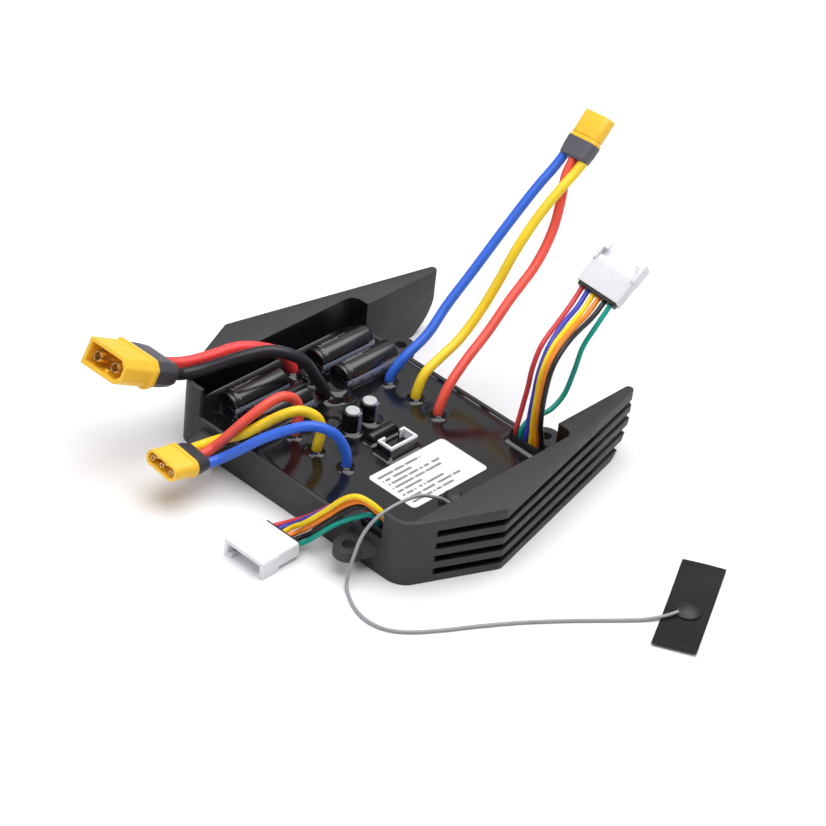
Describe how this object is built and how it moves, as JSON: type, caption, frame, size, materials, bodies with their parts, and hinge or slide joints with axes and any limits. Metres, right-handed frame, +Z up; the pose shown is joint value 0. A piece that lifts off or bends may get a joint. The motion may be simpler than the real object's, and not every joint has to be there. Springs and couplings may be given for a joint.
{
  "type": "electronic speed controller",
  "caption": "Twin motor speed controller potted in a black finned tray with two cooling wings, motor, sensor and battery leads, and an antenna",
  "frame": {"origin": "bottom centre of the housing footprint, on the face it stands on", "axes": "+X from the left wing to the right wing, +Y from the front wall to the wing tips, +Z up out of the open tray"},
  "size_m": [0.2034, 0.1907, 0.0907],
  "materials": {
    "housing_black": "matt powder coat",
    "pad_grey": "soft silicone pad",
    "chip_black": "moulded epoxy",
    "board_green": "solder mask",
    "board_blue": "solder mask",
    "potting_black": "cured epoxy, mirror gloss",
    "sleeve_black": "shrink sleeve",
    "can_aluminium": "drawn can",
    "header_black": "moulded",
    "shell_white": "moulded nylon",
    "tin_pins": "tin plate",
    "label_white": "matt print stock",
    "rubber_black": "matt",
    "coax_grey": "satin jacket",
    "antenna_film": "matt film",
    "plug_yellow": "moulded nylon",
    "contact_gold": "gold plate",
    "sheath_grey": "moulded",
    "battery_red": "silicone",
    "battery_black": "silicone",
    "motor_yellow": "silicone",
    "motor_red": "silicone",
    "motor_blue": "silicone",
    "sensor_red": "extruded jacket",
    "sensor_blue": "extruded jacket",
    "sensor_yellow": "extruded jacket",
    "sensor_orange": "extruded jacket",
    "sensor_black": "extruded jacket",
    "sensor_green": "extruded jacket"
  },
  "bodies": {
    "root": {"housing": "housing_black", "thermal_pads": "pad_grey", "power_transistors": "chip_black", "circuit_board": "board_green", "control_chips": "chip_black", "receiver_module": "board_blue", "potting": "potting_black", "bulk_capacitor_1": "sleeve_black", "bulk_capacitor_2": "sleeve_black", "bulk_capacitor_3": "sleeve_black", "bulk_capacitor_4": "sleeve_black", "small_capacitor_1": "can_aluminium", "small_capacitor_2": "can_aluminium", "sleeved_fuse": "sleeve_black", "header_shell": "header_black", "header_rim": "shell_white", "header_pins": "tin_pins", "rating_label": "label_white", "antenna_grommet": "rubber_black", "antenna_cable": "coax_grey", "antenna_patch": "antenna_film", "antenna_dome": "rubber_black", "battery_wire_red": "battery_red", "battery_wire_black": "battery_black", "battery_plug_shell": "plug_yellow", "battery_plug_pins": "contact_gold", "battery_plug_sheath": "sheath_grey", "front_motor_wire_yellow": "motor_yellow", "front_motor_wire_red": "motor_red", "front_motor_wire_blue": "motor_blue", "front_motor_plug_shell": "plug_yellow", "front_motor_plug_pins": "contact_gold", "front_motor_plug_sheath": "sheath_grey", "rear_motor_wire_blue": "motor_blue", "rear_motor_wire_red": "motor_red", "rear_motor_wire_yellow": "motor_yellow", "rear_motor_plug_shell": "plug_yellow", "rear_motor_plug_sockets": "contact_gold", "rear_motor_plug_sheath": "sheath_grey", "front_sensor_wire_red": "sensor_red", "front_sensor_wire_blue": "sensor_blue", "front_sensor_wire_yellow": "sensor_yellow", "front_sensor_wire_orange": "sensor_orange", "front_sensor_wire_black": "sensor_black", "front_sensor_wire_green": "sensor_green", "front_sensor_collar": "rubber_black", "front_sensor_shell": "shell_white", "front_sensor_contacts": "tin_pins", "front_sensor_seal": "rubber_black", "rear_sensor_wire_red": "sensor_red", "rear_sensor_wire_blue": "sensor_blue", "rear_sensor_wire_yellow": "sensor_yellow", "rear_sensor_wire_orange": "sensor_orange", "rear_sensor_wire_black": "sensor_black", "rear_sensor_wire_green": "sensor_green", "rear_sensor_collar": "rubber_black", "rear_sensor_shell": "shell_white", "rear_sensor_contacts": "tin_pins", "rear_sensor_seal": "rubber_black"}
  },
  "joints": []
}
